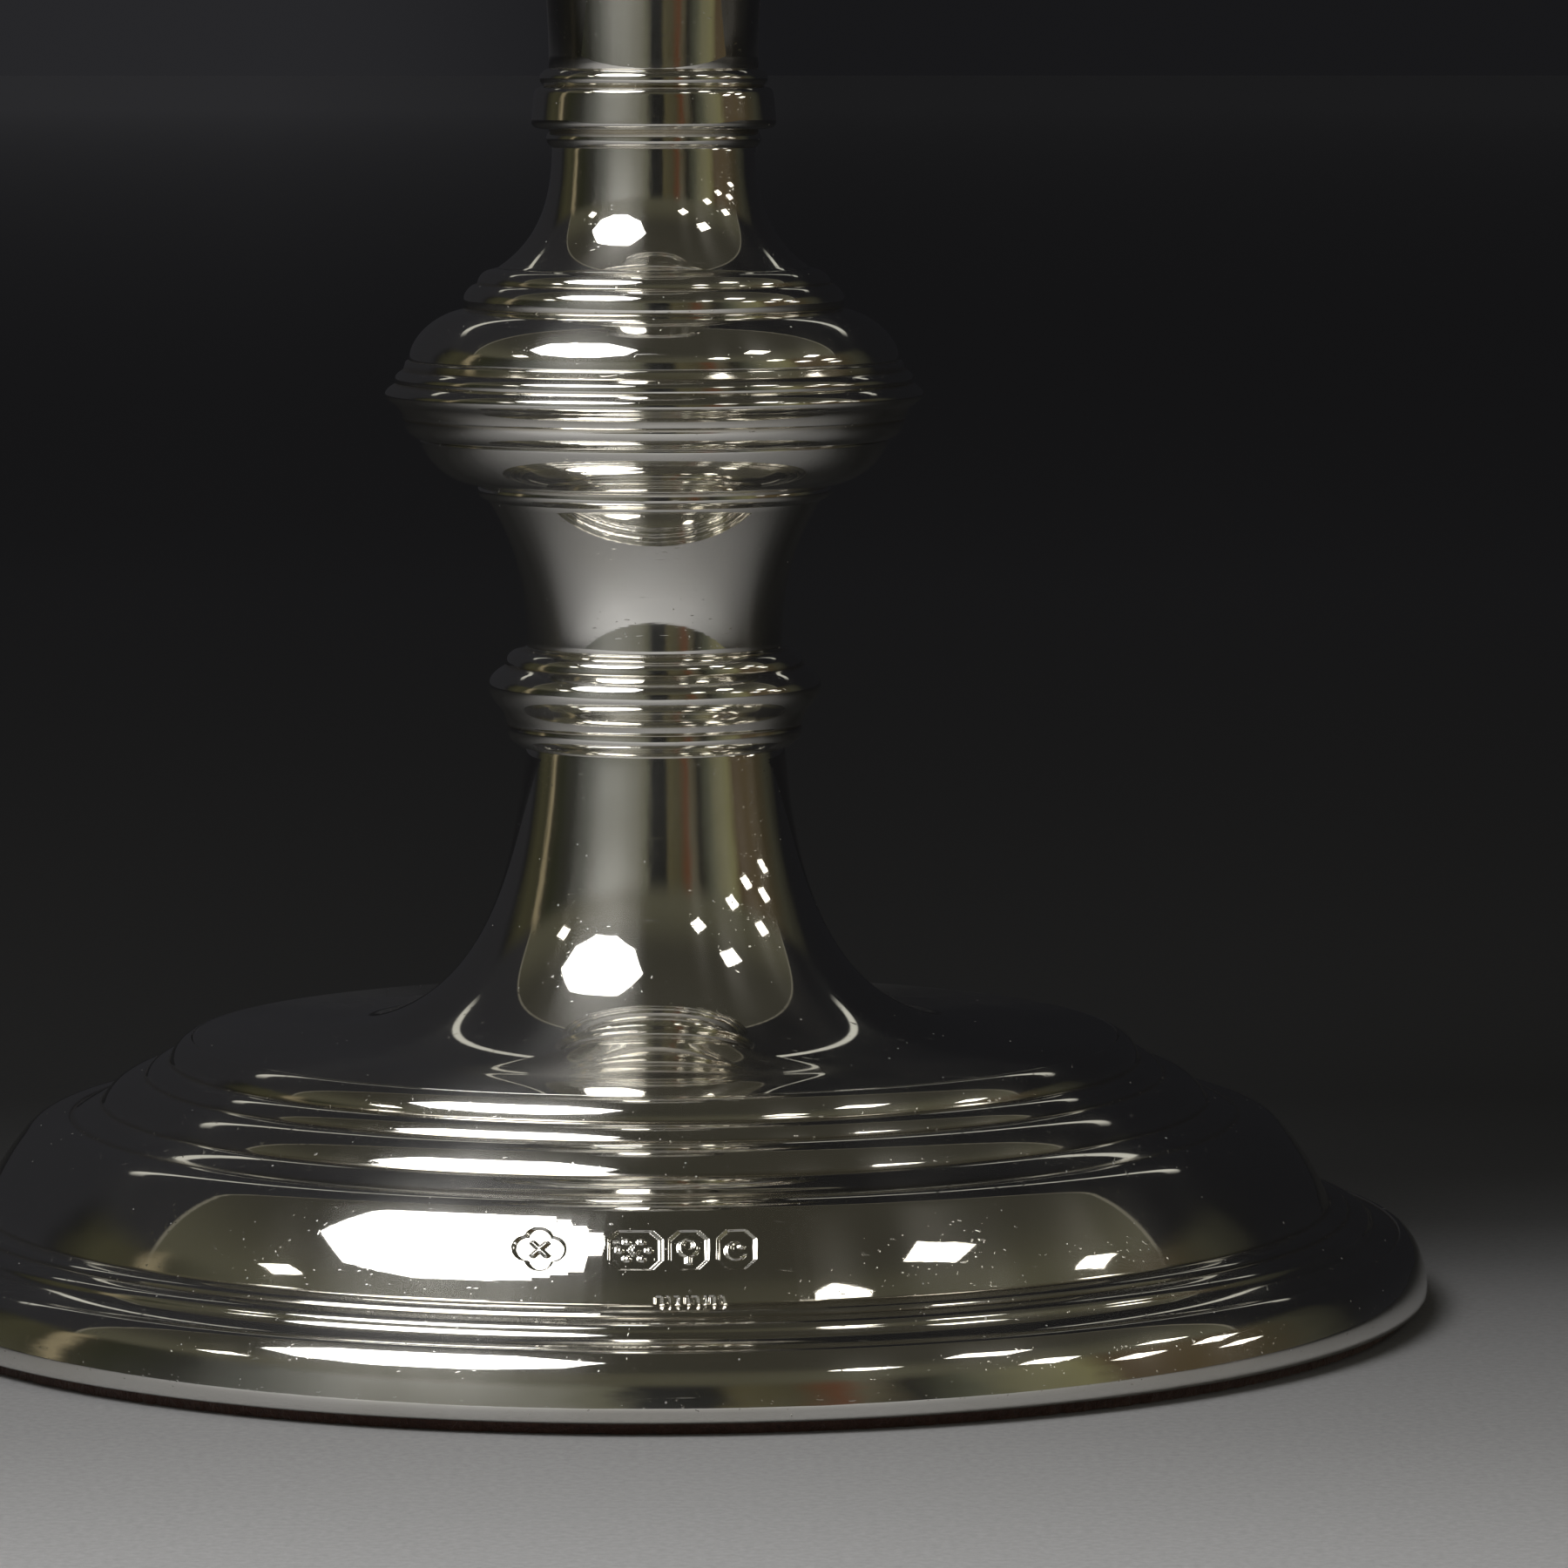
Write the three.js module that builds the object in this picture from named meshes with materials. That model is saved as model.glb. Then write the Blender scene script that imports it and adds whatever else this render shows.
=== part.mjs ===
// A loaded ("filled") silver candlestick on a round stepped foot, in millimetres, +Z up.
// The origin is the centre of the underside of the felt. Every piece is turned about the Z axis.
import * as THREE from 'three';

// ---------------------------------------------------------------- driving dimensions
const SIDES = 24; // facets of every turned piece, so that neighbours share their facets

// Fits
const SEAM = 0.05; // clearance at a soldered seam between two pieces
const FILL_GAP = 0.1; // clearance between the filling and the sheet or rod beside it
const SLIDE_FIT = 0.3; // radial clearance of the lift-out nozzle in its socket

// Sheet and core
const WALL = 0.8; // silver sheet
const ROD_RADIUS = 2.5;
const NUT_RADIUS = 6; // to the corners of its hexagon
const NUT_HEIGHT = 4;

// Foot, from the table up
const FOOT_RADIUS = 62.5;
const FELT_THICKNESS = 0.9;
const FELT_INSET = 1.7; // felt edge, in from the rim
const PLATE_THICKNESS = 0.8;
const LIP_WIDTH = 2.5; // turned-in lip under the rim
const RIM_WIDTH = 2.3;
const RIM_HEIGHT = 5.2;
const STEP_WIDTH = 2.7; // ledge and riser inside the rim
const STEP_HEIGHT = 1.45;
const LEDGE_WIDTH = 2.95; // flat ledge with a fillet, round the dome
const LEDGE_HEIGHT = 0.95;
const DOME_WIDTH = 7.35;
const DOME_HEIGHT = 7.15;
const REEDS_WIDTH = 9.7; // three stepped reeds between the dome and the well
const REEDS_HEIGHT = 6.25;
const FLANGE_WIDTH = 2.8; // ledge that the trumpet's brim lies on

// Stem, from the well up
const TRUMPET_HEIGHT = 23.4;
const TRUMPET_TOP_RADIUS = 10.8;
const LOWER_COLLAR_HEIGHT = 8.0;
const LOWER_COLLAR_RADIUS = 13.3;
const WAIST_HEIGHT = 11.8;
const WAIST_RADIUS = 10.3;
const WAIST_TOP_RADIUS = 13.4;
const KNOP_RADIUS = 21.7;
const KNOP_WIRE_HEIGHT = 1.3;
const KNOP_WIRE_WIDTH = 0.9;
const CUP_HEIGHT = 3.6;
const GIRDLE_HEIGHT = 6.3;
const SHOULDER_HEIGHT = 4.1;
const SHOULDER_TOP_RADIUS = 15.3;
const NECK_RING_HEIGHT = 3.3;
const NECK_FOOT_RADIUS = 12.6;
const NECK_HEIGHT = 9.7;
const NECK_RADIUS = 8.15;
const UPPER_COLLAR_HEIGHT = 6.2;
const UPPER_COLLAR_RADIUS = 9.75;
const COLUMN_RADIUS = 8.4;
const COLUMN_HEIGHT = 46;
const COLUMN_TOP_RADIUS = 12.6;

// Socket and lift-out nozzle
const CANDLE_RADIUS = 11; // a 22 mm dinner candle
const CANDLE_FIT = 0.25;
const CANDLE_DEPTH = 28;
const NOZZLE_WALL = 0.6;
const LINER_WALL = 0.7;
const SOCKET_FLOOR = 1.2;
const SOCKET_RING_HEIGHT = 4.2;
const SOCKET_RING_WIDTH = 3.2; // how far the ring under the socket stands out past the liner
const SOCKET_WAIST_GAP = 0.25; // from the liner to the sheet at the middle of the socket
const SOCKET_FLARE = 1.6;
const SOCKET_RIM_HEIGHT = 2.2;
const SOCKET_RIM_WIDTH = 2.6;
const PAN_RADIUS = 22;
const PAN_DISH = 1.6; // how far the pan's edge rises above its seat
const PAN_WIRE_RADIUS = 0.9;

// ---------------------------------------------------------------- levels worked out from them
const plateBottom = FELT_THICKNESS;
const plateTop = plateBottom + PLATE_THICKNESS;
const rimTop = FELT_THICKNESS + RIM_HEIGHT;
const stepTop = rimTop + STEP_HEIGHT;
const ledgeTop = stepTop + LEDGE_HEIGHT;
const domeTop = ledgeTop + DOME_HEIGHT;
const wellLevel = domeTop + REEDS_HEIGHT;
const trumpetTop = wellLevel + TRUMPET_HEIGHT;
const lowerCollarTop = trumpetTop + LOWER_COLLAR_HEIGHT;
const waistTop = lowerCollarTop + WAIST_HEIGHT;
const knopWireTop = waistTop + KNOP_WIRE_HEIGHT;
const cupTop = knopWireTop + CUP_HEIGHT;
const girdleTop = cupTop + GIRDLE_HEIGHT;
const shoulderTop = girdleTop + SHOULDER_HEIGHT;
const neckRingTop = shoulderTop + NECK_RING_HEIGHT;
const neckTop = neckRingTop + NECK_HEIGHT;
const upperCollarTop = neckTop + UPPER_COLLAR_HEIGHT;
const columnTop = upperCollarTop + COLUMN_HEIGHT;
const socketRingTop = columnTop + SOCKET_RING_HEIGHT;
const linerBottom = socketRingTop + SEAM;
const linerFloorTop = linerBottom + SOCKET_FLOOR;
const nozzleBottom = linerFloorTop + SLIDE_FIT;
const candleFloor = nozzleBottom + NOZZLE_WALL;
const socketTop = candleFloor + CANDLE_DEPTH;
const socketShellTop = socketTop - SOCKET_RIM_HEIGHT;
const panSeat = socketTop + SEAM;

// ---------------------------------------------------------------- radii worked out from them
const rimInner = FOOT_RADIUS - RIM_WIDTH;
const stepInner = rimInner - STEP_WIDTH;
const ledgeInner = stepInner - LEDGE_WIDTH;
const domeInner = ledgeInner - DOME_WIDTH;
const wellRadius = domeInner - REEDS_WIDTH;
const knopWireRadius = WAIST_TOP_RADIUS + KNOP_WIRE_WIDTH;
const cupFootRadius = knopWireRadius + 0.5;
const cupTopRadius = KNOP_RADIUS - 3;
const girdleTopRadius = KNOP_RADIUS - 2;
const candleHole = CANDLE_RADIUS + CANDLE_FIT;
const nozzleRadius = candleHole + NOZZLE_WALL;
const linerInner = nozzleRadius + SLIDE_FIT;
const linerOuter = linerInner + LINER_WALL;
const socketWaistRadius = linerOuter + SOCKET_WAIST_GAP + WALL;
const socketRingRadius = linerOuter + SOCKET_RING_WIDTH;
const socketRimRadius = linerOuter + SOCKET_RIM_WIDTH;
const rodHole = ROD_RADIUS + FILL_GAP;

// ---------------------------------------------------------------- outline helpers
const at = (radius, height) => new THREE.Vector2(radius, height);

// Points of a shallow parabola from one point to the next; bulge is its height, positive to the
// right of the direction of travel. The first point is left out.
function arc(from, to, bulge, steps) {
  const chord = to.clone().sub(from);
  const side = at(chord.y, -chord.x).normalize();
  const points = [];
  for (let step = 1; step <= steps; step += 1) {
    const share = step / steps;
    const rise = 4 * share * (1 - share) * bulge;
    points.push(from.clone().addScaledVector(chord, share).addScaledVector(side, rise));
  }
  return points;
}

// Points of a smooth curve with two guide points. The first point is left out.
function sweep(from, guideA, guideB, to, steps) {
  return new THREE.CubicBezierCurve(from, guideA, guideB, to).getPoints(steps).slice(1);
}

// A line moved inwards by a wall. Its ends keep their level, or their radius where flatStart is set.
function inset(line, wall, flatStart = false) {
  return line.map((point, index) => {
    if (index === 0 && flatStart) return at(point.x, point.y - wall);
    if (index === 0 || index === line.length - 1) return at(point.x - wall, point.y);
    const along = line[index + 1].clone().sub(line[index - 1]).normalize();
    return at(point.x - along.y * wall, point.y + along.x * wall);
  });
}

// A closed sheet from its outer line and its inner line, both running upwards.
const sheet = (outer, inner) => [...outer, ...inner.slice().reverse()];

const SILVER = { color: 0xd8d4c8, metalness: 1, roughness: 0.16 };
const candlestick = new THREE.Group();

function place(name, geometry, finish) {
  const piece = new THREE.Mesh(geometry, new THREE.MeshStandardMaterial(finish));
  piece.name = name;
  candlestick.add(piece);
  return piece;
}

// One turned piece. An outline whose ends are off the axis is closed on itself.
function turned(name, outline, finish) {
  const points = outline.slice();
  const first = points[0];
  const onAxis = first.x === 0 && points[points.length - 1].x === 0;
  if (!onAxis) points.push(first.clone());
  const geometry = new THREE.LatheGeometry(points, SIDES);
  place(name, geometry, finish).rotation.x = Math.PI / 2; // a lathe turns about Y, not Z
}

// Corners of a regular polygon about the axis.
function polygon(radius, sides) {
  return Array.from({ length: sides }, (_, corner) => {
    const turn = (corner / sides) * Math.PI * 2;
    return at(radius * Math.cos(turn), radius * Math.sin(turn));
  });
}

// A flat ring or, with no hole, a disc.
function ring(inner, outer, bottom, top) {
  return [at(inner, bottom), at(outer, bottom), at(outer, top), at(inner, top)];
}

// ---------------------------------------------------------------- base
function makeBase() {
  turned('felt_pad', ring(0, FOOT_RADIUS - FELT_INSET, 0, FELT_THICKNESS),
    { color: 0x4a2a22, metalness: 0, roughness: 1 });
  const plateRadius = FOOT_RADIUS - LIP_WIDTH - SEAM;
  turned('base_plate', ring(rodHole, plateRadius, plateBottom, plateTop),
    { color: 0x6f6a62, metalness: 1, roughness: 0.6 });
}

// ---------------------------------------------------------------- foot
// Outer line of the stamped foot, from its turned-in lip up to the edge of the well.
function footLine() {
  const lip = at(FOOT_RADIUS - FELT_INSET / 2, FELT_THICKNESS);
  const widest = at(FOOT_RADIUS, FELT_THICKNESS + 1.2);
  const rim = at(rimInner, rimTop);
  const riser = at(stepInner + 0.5, stepTop - 0.75);
  const step = at(stepInner, stepTop);
  const ledge = at(ledgeInner, ledgeTop);
  const dome = at(domeInner, domeTop);
  const reeds = [
    at(domeInner - REEDS_WIDTH * 0.3, domeTop + REEDS_HEIGHT * 0.1),
    at(domeInner - REEDS_WIDTH * 0.34, domeTop + REEDS_HEIGHT * 0.24),
    at(domeInner - REEDS_WIDTH * 0.61, domeTop + REEDS_HEIGHT * 0.47),
    at(domeInner - REEDS_WIDTH * 0.78, domeTop + REEDS_HEIGHT * 0.66),
    at(domeInner - REEDS_WIDTH * 0.86, domeTop + REEDS_HEIGHT * 0.88),
    at(wellRadius, wellLevel),
  ];
  return [
    lip,
    widest,
    ...sweep(widest, at(FOOT_RADIUS, rimTop - 2.2), at(FOOT_RADIUS - 1.1, rimTop), rim, 4),
    riser,
    step,
    ledge,
    ...sweep(ledge, at(ledgeInner - 1.4, ledgeTop + 4.2), at(domeInner + 4.5, domeTop - 0.2), dome, 4),
    ...reeds,
  ];
}

// Inner line of the foot: the plain form under the mouldings, one wall in from them.
function footLining() {
  const lipInner = FOOT_RADIUS - LIP_WIDTH;
  return [
    at(lipInner, FELT_THICKNESS),
    at(lipInner, plateTop + SEAM),
    at(FOOT_RADIUS - 1.2, plateTop + SEAM),
    at(FOOT_RADIUS - 1.4, rimTop - 3),
    at(rimInner - 0.1, rimTop - 1.1),
    at(stepInner + 0.2, stepTop - 1.6),
    at(ledgeInner - 0.5, ledgeTop - 1),
    at(ledgeInner - 1.5, ledgeTop + 1.2),
    at(domeInner + 4, domeTop - 2.6),
    at(domeInner + 0.8, domeTop - 1.1),
    at(domeInner - REEDS_WIDTH * 0.3, domeTop - 0.6),
    at(wellRadius, wellLevel - WALL * 2),
  ];
}

function makeFoot() {
  const ledge = wellRadius - FLANGE_WIDTH;
  const seat = wellLevel - WALL;
  turned('foot_shell', sheet(
    [...footLine(), at(wellRadius, seat), at(ledge, seat)],
    [...footLining(), at(ledge, seat - WALL)],
  ), SILVER);
}

// ---------------------------------------------------------------- stem
function trumpetLine() {
  const brim = at(wellRadius - SEAM, wellLevel);
  const flat = at(wellRadius * 0.75, wellLevel + 0.15);
  const top = at(TRUMPET_TOP_RADIUS, trumpetTop);
  const guideLow = at(flat.x - 14.1, wellLevel + 0.5);
  const guideHigh = at(TRUMPET_TOP_RADIUS, trumpetTop - TRUMPET_HEIGHT * 0.51);
  return [brim, flat, ...sweep(flat, guideLow, guideHigh, top, 8)];
}

function waistLine() {
  const low = at(WAIST_RADIUS, lowerCollarTop);
  const high = at(WAIST_TOP_RADIUS, waistTop);
  const guideLow = at(WAIST_RADIUS, lowerCollarTop + WAIST_HEIGHT * 0.35);
  const guideHigh = at(WAIST_TOP_RADIUS - 2.45, waistTop - WAIST_HEIGHT * 0.32);
  return [low, ...sweep(low, guideLow, guideHigh, high, 5)];
}

function cupLine() {
  const low = at(cupFootRadius, knopWireTop);
  const high = at(cupTopRadius, cupTop);
  const guideLow = at(cupFootRadius + 1.7, knopWireTop + 0.4);
  return [low, ...sweep(low, guideLow, at(cupTopRadius, cupTop - CUP_HEIGHT * 0.55), high, 4)];
}

function shoulderLine() {
  const low = at(girdleTopRadius, girdleTop);
  const high = at(SHOULDER_TOP_RADIUS, shoulderTop);
  const guideLow = at(girdleTopRadius, girdleTop + SHOULDER_HEIGHT * 0.45);
  const guideHigh = at(SHOULDER_TOP_RADIUS + 2.4, shoulderTop - 0.6);
  return [low, ...sweep(low, guideLow, guideHigh, high, 4)];
}

function neckLine() {
  const low = at(NECK_FOOT_RADIUS, neckRingTop);
  const high = at(NECK_RADIUS, neckTop);
  const guideLow = at(NECK_RADIUS + 0.9, neckRingTop + NECK_HEIGHT * 0.28);
  return [low, ...sweep(low, guideLow, at(NECK_RADIUS, neckTop - NECK_HEIGHT * 0.45), high, 5)];
}

function columnLine() {
  const low = at(COLUMN_RADIUS, upperCollarTop);
  const high = at(COLUMN_TOP_RADIUS, columnTop);
  const guideLow = at(COLUMN_RADIUS, upperCollarTop + COLUMN_HEIGHT * 0.3);
  const guideHigh = at(COLUMN_TOP_RADIUS, columnTop - COLUMN_HEIGHT * 0.35);
  return [low, ...sweep(low, guideLow, guideHigh, high, 6)];
}

// The sheet pieces of the stem, bottom to top, with the lines that the filling follows.
const shells = {
  trumpet_shell: { outer: trumpetLine(), flatStart: true },
  waist_shell: { outer: waistLine() },
  knop_cup: { outer: cupLine() },
  knop_shoulder: { outer: shoulderLine() },
  neck_shell: { outer: neckLine() },
  column_shell: { outer: columnLine() },
};
for (const shell of Object.values(shells)) {
  shell.inner = inset(shell.outer, WALL, shell.flatStart);
}

function makeStemShells() {
  for (const [name, shell] of Object.entries(shells)) {
    turned(name, sheet(shell.outer, shell.inner), SILVER);
  }
}

// Cast and drawn rings between the sheet pieces. Each bore clears the filling that runs through it.
function makeRings() {
  const collar = LOWER_COLLAR_RADIUS;
  const collarLow = at(TRUMPET_TOP_RADIUS + 0.3, trumpetTop);
  const collarHigh = at(WAIST_RADIUS + 1, lowerCollarTop);
  const torusLow = at(collar - 1, trumpetTop + LOWER_COLLAR_HEIGHT * 0.26);
  const torusHigh = at(collar - 1, trumpetTop + LOWER_COLLAR_HEIGHT * 0.78);
  turned('lower_collar', sheet(
    [
      collarLow,
      ...arc(collarLow, torusLow, 0.35, 2),
      ...arc(torusLow, torusHigh, 1, 4),
      ...arc(torusHigh, collarHigh, 0.3, 2),
    ],
    [at(WAIST_RADIUS - WALL, trumpetTop), at(WAIST_RADIUS - WALL, lowerCollarTop)],
  ), SILVER);

  const wireInner = WAIST_TOP_RADIUS - WALL;
  const wireLow = at(knopWireRadius - 0.2, waistTop);
  const wireHigh = at(knopWireRadius - 0.1, knopWireTop);
  turned('knop_wire', sheet(
    [wireLow, ...arc(wireLow, wireHigh, 0.25, 3)],
    [at(wireInner, waistTop), at(wireInner, knopWireTop)],
  ), SILVER);

  const girdleBore = cupTopRadius - WALL;
  const low = at(KNOP_RADIUS - 2.5, cupTop);
  const band = at(KNOP_RADIUS - 1.5, cupTop + GIRDLE_HEIGHT * 0.3);
  const cove = at(KNOP_RADIUS - 0.7, cupTop + GIRDLE_HEIGHT * 0.46);
  const bead = at(KNOP_RADIUS - 0.8, cupTop + GIRDLE_HEIGHT * 0.7);
  const fillet = at(KNOP_RADIUS - 1.4, cupTop + GIRDLE_HEIGHT * 0.88);
  turned('knop_girdle', sheet(
    [
      low,
      ...arc(low, band, 0.2, 2),
      cove,
      ...arc(cove, bead, 0.75, 3),
      ...arc(bead, fillet, 0.25, 2),
      at(girdleTopRadius + 0.3, girdleTop),
    ],
    [at(girdleBore, cupTop), at(girdleBore, girdleTop)],
  ), SILVER);

  const neckRingLow = at(SHOULDER_TOP_RADIUS - 0.1, shoulderTop);
  const neckRingMid = at(NECK_FOOT_RADIUS + 1.7, shoulderTop + NECK_RING_HEIGHT * 0.6);
  const neckRingHigh = at(NECK_FOOT_RADIUS + 0.3, neckRingTop);
  turned('neck_ring', sheet(
    [neckRingLow, ...arc(neckRingLow, neckRingMid, 0.35, 3), ...arc(neckRingMid, neckRingHigh, 0.3, 2)],
    [at(NECK_FOOT_RADIUS - WALL, shoulderTop), at(NECK_FOOT_RADIUS - WALL, neckRingTop)],
  ), SILVER);

  const upper = UPPER_COLLAR_RADIUS;
  const ogeeLow = at(NECK_RADIUS + 0.2, neckTop);
  const bandLow = at(upper - 0.1, neckTop + UPPER_COLLAR_HEIGHT * 0.35);
  const ogeeGuideLow = at(NECK_RADIUS + 0.4, ogeeLow.y + 1.2);
  const ogeeGuideHigh = at(upper - 0.4, bandLow.y - 0.8);
  const bandHigh = at(upper - 0.1, neckTop + UPPER_COLLAR_HEIGHT * 0.7);
  const beadLow = at(COLUMN_RADIUS + 0.4, neckTop + UPPER_COLLAR_HEIGHT * 0.77);
  const beadHigh = at(COLUMN_RADIUS + 0.35, upperCollarTop);
  turned('upper_collar', sheet(
    [
      ogeeLow,
      ...sweep(ogeeLow, ogeeGuideLow, ogeeGuideHigh, bandLow, 3),
      bandHigh,
      beadLow,
      ...arc(beadLow, beadHigh, 0.35, 3),
    ],
    [at(NECK_RADIUS - WALL, neckTop), at(NECK_RADIUS - WALL, upperCollarTop)],
  ), SILVER);

  const socketLow = at(COLUMN_TOP_RADIUS + 0.5, columnTop);
  const socketHigh = at(socketRingRadius - 1.2, socketRingTop);
  turned('socket_ring', sheet(
    [
      socketLow,
      at(socketRingRadius - 0.8, columnTop + SOCKET_RING_HEIGHT * 0.4),
      ...arc(at(socketRingRadius - 0.8, columnTop + SOCKET_RING_HEIGHT * 0.4), socketHigh, 0.9, 3),
    ],
    [at(COLUMN_TOP_RADIUS - WALL, columnTop), at(COLUMN_TOP_RADIUS - WALL, socketRingTop)],
  ), SILVER);
}

// ---------------------------------------------------------------- filling and rod
const PLASTER = { color: 0xb9ad98, metalness: 0, roughness: 0.95 };
const STEEL = { color: 0x77736c, metalness: 1, roughness: 0.5 };

// The mass poured into the foot and the trumpet, up to the lower collar.
function makeFootFilling() {
  const bottom = plateTop + FILL_GAP;
  const lining = footLining().slice(3).map((point) => at(point.x - FILL_GAP, point.y - FILL_GAP));
  const ledge = at(wellRadius - FLANGE_WIDTH - FILL_GAP, wellLevel - WALL * 2 - FILL_GAP);
  const inside = shells.trumpet_shell.inner
    .slice(1)
    .map((point) => at(point.x - FILL_GAP, point.y - FILL_GAP));
  turned('foot_filling', [
    at(NUT_RADIUS + FILL_GAP, bottom),
    at(FOOT_RADIUS - LIP_WIDTH, bottom),
    ...lining,
    ledge,
    ...inside,
    at(rodHole, trumpetTop - FILL_GAP),
    at(rodHole, plateTop + NUT_HEIGHT + FILL_GAP),
    at(NUT_RADIUS + FILL_GAP, plateTop + NUT_HEIGHT + FILL_GAP),
  ], PLASTER);
}

// The mass in the stem, from the lower collar to the floor of the socket.
function makeStemFilling() {
  const bottom = trumpetTop;
  const shrink = (line) => line.map((point) => at(point.x - FILL_GAP, point.y));
  const through = (radius, low, high) => [at(radius - FILL_GAP, low), at(radius - FILL_GAP, high)];
  turned('stem_filling', [
    ...through(WAIST_RADIUS - WALL, bottom, lowerCollarTop),
    ...shrink(shells.waist_shell.inner).slice(1),
    at(WAIST_TOP_RADIUS - WALL - FILL_GAP, knopWireTop + FILL_GAP),
    ...shrink(shells.knop_cup.inner.map((point) => at(point.x, point.y + FILL_GAP))),
    at(cupTopRadius - WALL - FILL_GAP, girdleTop + FILL_GAP),
    ...shrink(shells.knop_shoulder.inner.map((point) => at(point.x, point.y - FILL_GAP))).slice(1),
    at(NECK_FOOT_RADIUS - WALL - FILL_GAP, shoulderTop - FILL_GAP),
    ...shrink(shells.neck_shell.inner.map((point) => at(point.x, point.y - FILL_GAP))),
    at(NECK_RADIUS - WALL - FILL_GAP, upperCollarTop + FILL_GAP),
    ...shrink(shells.column_shell.inner).slice(1),
    at(COLUMN_TOP_RADIUS - WALL - FILL_GAP, socketRingTop - FILL_GAP),
    at(rodHole, socketRingTop - FILL_GAP),
    at(rodHole, bottom),
  ], PLASTER);
}

function makeRod() {
  turned('reinforcing_rod', ring(0, ROD_RADIUS, FELT_THICKNESS, socketRingTop - FILL_GAP * 2), STEEL);

  const flats = new THREE.Shape(polygon(NUT_RADIUS, 6));
  flats.holes.push(new THREE.Path(polygon(rodHole, SIDES).reverse()));
  const nut = new THREE.ExtrudeGeometry(flats, { depth: NUT_HEIGHT, bevelEnabled: false });
  place('rod_nut', nut, STEEL).position.z = plateTop;
}

// ---------------------------------------------------------------- socket
function makeSocket() {
  turned('socket_liner', [
    at(0, linerBottom),
    at(linerOuter, linerBottom),
    at(linerOuter, socketTop),
    at(linerInner, socketTop),
    at(linerInner, linerFloorTop),
    at(0, linerFloorTop),
  ], SILVER);

  const low = at(socketWaistRadius + SOCKET_FLARE, socketRingTop);
  const high = at(socketWaistRadius + SOCKET_FLARE, socketShellTop);
  const span = socketShellTop - socketRingTop;
  const outer = [low];
  outer.push(...sweep(low, at(socketWaistRadius - SOCKET_FLARE / 3, low.y + span * 0.2),
    at(socketWaistRadius - SOCKET_FLARE / 3, high.y - span * 0.2), high, 8));
  turned('socket_shell', sheet(outer, inset(outer, WALL)), SILVER);

  const rimLow = at(socketWaistRadius + SOCKET_FLARE + 0.1, socketShellTop);
  const rimHigh = at(socketRimRadius, socketTop);
  turned('socket_rim', sheet(
    [rimLow, ...arc(rimLow, rimHigh, 0.6, 3)],
    [at(linerOuter + SEAM, socketShellTop), at(linerOuter + SEAM, socketTop)],
  ), SILVER);
}

// ---------------------------------------------------------------- lift-out nozzle
function makeNozzle() {
  turned('nozzle_tube', [
    at(0, nozzleBottom),
    at(nozzleRadius, nozzleBottom),
    at(nozzleRadius, panSeat + WALL),
    at(candleHole, panSeat + WALL),
    at(candleHole, candleFloor),
    at(0, candleFloor),
  ], SILVER);

  const inner = at(nozzleRadius + SEAM, panSeat);
  const panEdge = PAN_RADIUS - PAN_WIRE_RADIUS * 2 - SEAM;
  const flat = at(socketRimRadius, panSeat);
  const edge = at(panEdge, panSeat + PAN_DISH);
  const under = [inner, flat, ...arc(flat, edge, 0.35, 3)];
  const over = under.map((point) => at(point.x, point.y + WALL));
  turned('nozzle_pan', [...under, ...over.reverse()], SILVER);

  const wire = [];
  const wireSteps = 8;
  for (let step = 0; step < wireSteps; step += 1) {
    const turn = (step / wireSteps) * Math.PI * 2;
    wire.push(at(
      PAN_RADIUS - PAN_WIRE_RADIUS + PAN_WIRE_RADIUS * Math.cos(turn),
      panSeat + PAN_DISH + WALL / 2 + PAN_WIRE_RADIUS * Math.sin(turn),
    ));
  }
  turned('nozzle_wire', wire, SILVER);
}

makeBase();
makeFoot();
makeStemShells();
makeRings();
makeFootFilling();
makeStemFilling();
makeRod();
makeSocket();
makeNozzle();

export default candlestick;
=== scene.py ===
"""Looks of a loaded silver candlestick: turned silver over a filled core, with a lift-out nozzle."""
import math
import random

import bpy
import numpy as np
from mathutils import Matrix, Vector


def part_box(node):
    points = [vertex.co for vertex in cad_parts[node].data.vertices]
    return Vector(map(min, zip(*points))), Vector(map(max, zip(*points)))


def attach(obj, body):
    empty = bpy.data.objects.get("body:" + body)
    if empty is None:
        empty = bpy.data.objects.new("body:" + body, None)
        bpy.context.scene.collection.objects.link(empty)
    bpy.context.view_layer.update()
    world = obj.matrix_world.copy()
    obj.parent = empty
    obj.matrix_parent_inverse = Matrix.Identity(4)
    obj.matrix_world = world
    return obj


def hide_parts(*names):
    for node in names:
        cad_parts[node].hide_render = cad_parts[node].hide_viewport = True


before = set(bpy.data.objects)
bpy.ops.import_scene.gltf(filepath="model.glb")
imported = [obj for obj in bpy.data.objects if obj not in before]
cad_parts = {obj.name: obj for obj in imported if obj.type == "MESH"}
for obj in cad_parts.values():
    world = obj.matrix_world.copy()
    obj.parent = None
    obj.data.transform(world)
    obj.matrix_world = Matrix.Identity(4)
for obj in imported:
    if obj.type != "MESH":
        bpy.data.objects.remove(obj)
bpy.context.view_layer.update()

MM = 0.001
AROUND = 192  # steps of a small turned piece
FOOT_AROUND = 256  # steps of the foot and trumpet
WELD = 0.00001  # points nearer than this become one
CREASE_WIDTH = 0.00007
CREASE_ANGLE = math.radians(26)
SMOOTH_ANGLE = math.radians(50)

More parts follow.
